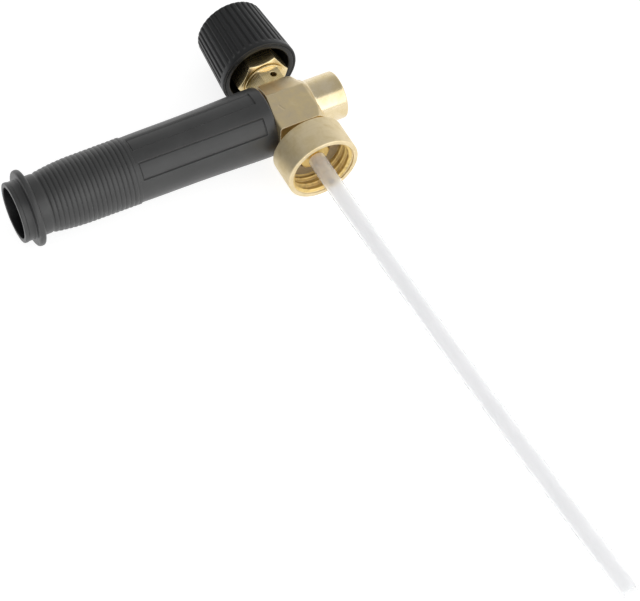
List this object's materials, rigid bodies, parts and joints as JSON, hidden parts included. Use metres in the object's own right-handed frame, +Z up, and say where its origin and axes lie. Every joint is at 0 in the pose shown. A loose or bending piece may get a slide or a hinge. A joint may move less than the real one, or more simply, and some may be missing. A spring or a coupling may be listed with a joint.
{
  "type": "foam injector head",
  "caption": "Pressure washer foam injector head: brass tee with black grip barrel, ribbed valve knob, threaded bottle cap and translucent dip tube.",
  "frame": {"origin": "centre of the water inlet's mouth, on the inlet thread's axis", "axes": "+X out of the inlet along the water axis (the foam barrel points to -X); +Y from the tee towards the knob along the suction and valve axis (the dip tube points to -Y); +Z up, the head lying on its side"},
  "size_m": [0.1581, 0.3304, 0.0372],
  "materials": {
    "brass_forged": "satin forged and tumbled brass",
    "brass_turned": "bright turned brass",
    "black_plastic": "fine-grained black moulded plastic",
    "black_rubber": "matt",
    "grey_rubber": "matt",
    "white_plastic": "moulded nylon",
    "steel_gauze": "rolled wire gauze",
    "zinc_screw": "zinc-plated steel",
    "clear_tube": "translucent natural polyethylene"
  },
  "bodies": {
    "head": {"brass_body": "brass_forged", "foam_barrel": "black_plastic", "barrel_o_ring": "black_rubber", "mixing_tube": "brass_turned", "mixing_tube_o_ring": "black_rubber", "jet_nozzle": "brass_turned", "jet_o_ring": "black_rubber", "mesh_cartridge": "white_plastic", "foam_gauze": "steel_gauze", "mesh_retainer": "white_plastic", "valve_bonnet": "brass_turned", "bonnet_o_ring": "black_rubber", "air_valve_seat": "white_plastic", "gland_nut": "brass_turned", "gland_packing": "white_plastic", "bottle_cap": "brass_turned", "cap_gasket": "grey_rubber", "hose_barb": "brass_turned", "dip_tube": "clear_tube"},
    "stem_seal": {"stem_o_ring": "black_rubber"},
    "knob_and_stem": {"valve_stem": "brass_turned", "knob": "black_plastic", "knob_screw": "zinc_screw", "knob_cap": "black_plastic"}
  },
  "joints": [
    {"name": "knob_lift", "type": "slide", "parent": "head", "child": "stem_seal", "axis": [0, 1, 0], "range_m": [-0.001, 0.0024]},
    {"name": "knob_turn", "type": "hinge", "parent": "stem_seal", "child": "knob_and_stem", "pos_m": [-0.0262, 0, 0], "axis": [0, 1, 0], "range_deg": [-360, 864]}
  ],
  "couplings": [
    {"joint": "knob_turn", "follows": "knob_lift", "rad_per_m": 6283.2}
  ]
}
